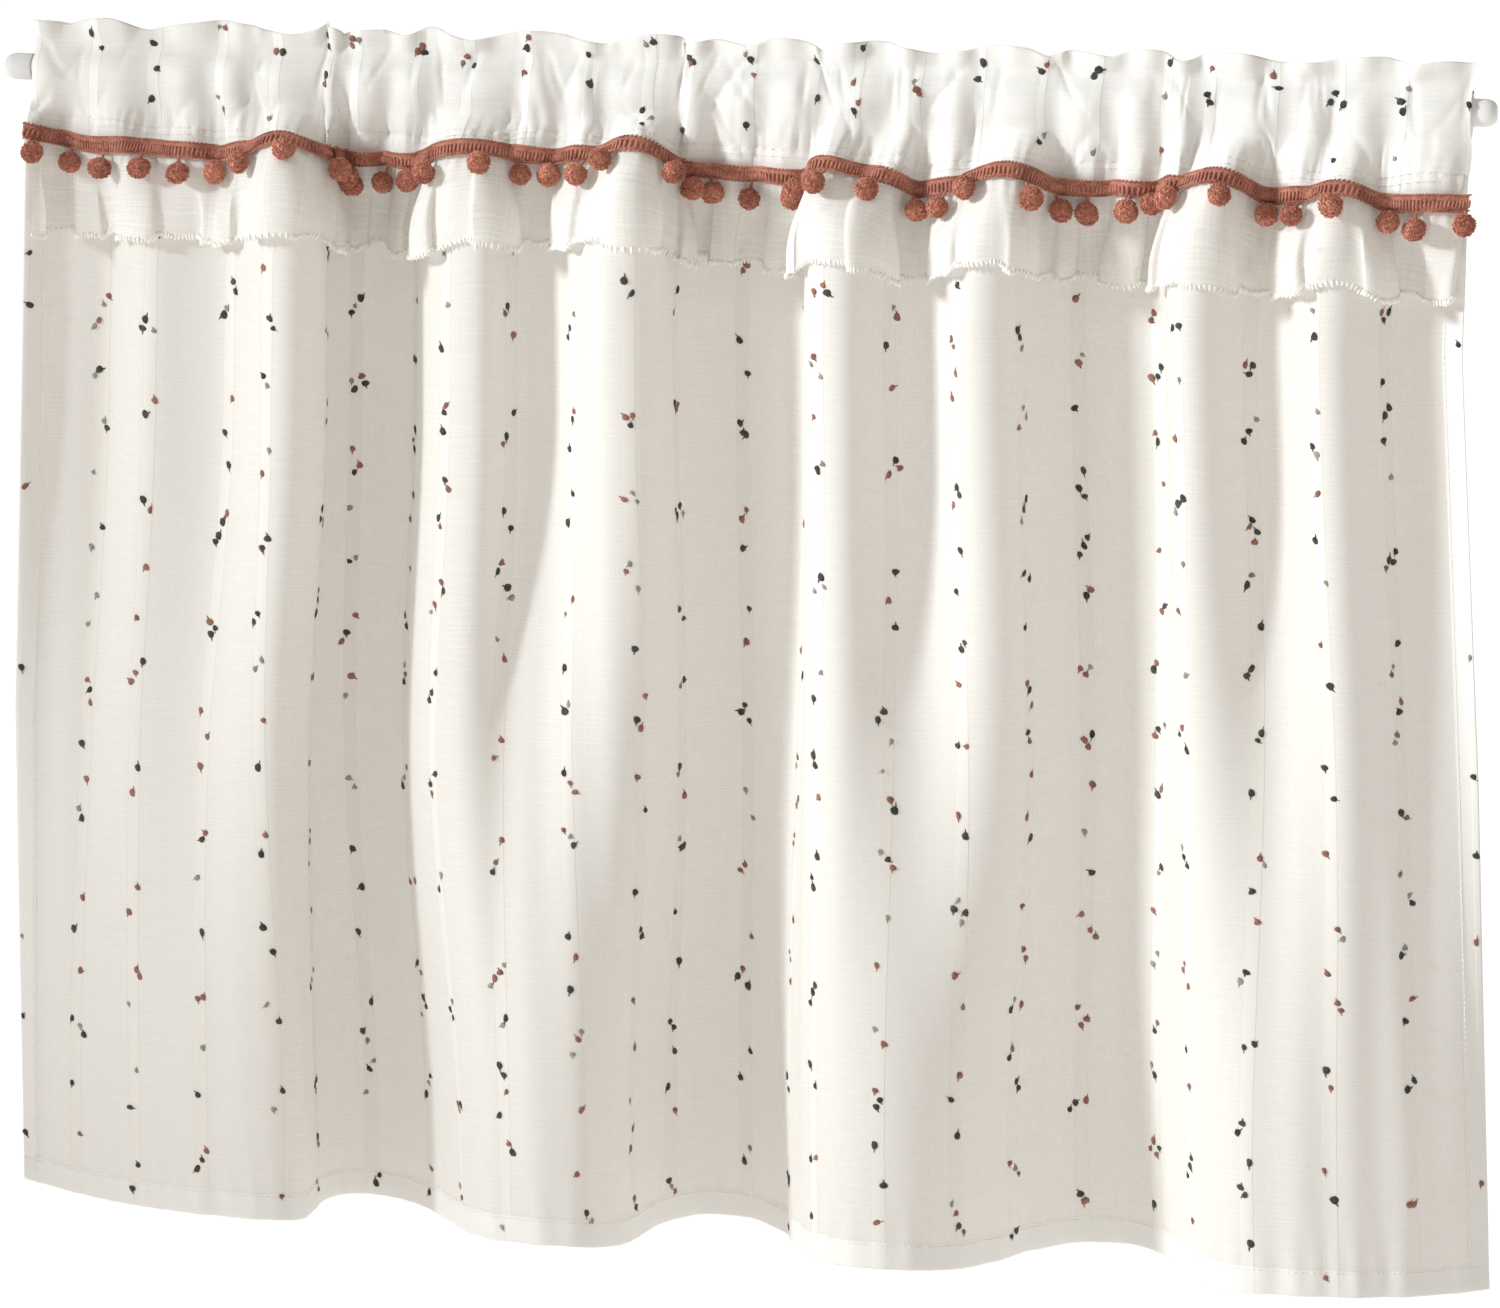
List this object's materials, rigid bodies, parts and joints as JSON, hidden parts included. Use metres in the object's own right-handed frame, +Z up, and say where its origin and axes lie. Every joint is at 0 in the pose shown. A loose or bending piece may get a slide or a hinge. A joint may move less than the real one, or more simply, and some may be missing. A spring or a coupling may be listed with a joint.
{
  "type": "cafe curtain on a slim rod",
  "caption": "Sheer cafe curtain with woven stripes and small dots, gathered on a slim rod, with a ruffled top, a flounce and a braid with pompoms.",
  "frame": {"origin": "centre of the flat end face of the rod's left cap, on the rod's axis, seen from the room", "axes": "+X along the rod to the right, +Z up, and the room side of the cloth faces -Y"},
  "size_m": [0.7719, 0.0971, 0.614],
  "materials": {
    "rod": "white satin enamel",
    "cap": "matt white moulded plastic",
    "voile": "off-white cotton voile with denser woven stripes and small tufted dots",
    "flounce_voile": "plain off-white cotton voile with an overlocked edge",
    "trim": "terracotta cotton braid and wool pompoms"
  },
  "bodies": {
    "root": {"rod": "rod", "rod_cap_left": "cap", "rod_cap_right": "cap", "heading": "voile", "panel": "voile", "flounce": "flounce_voile", "pompom_braid": "trim"}
  },
  "joints": []
}
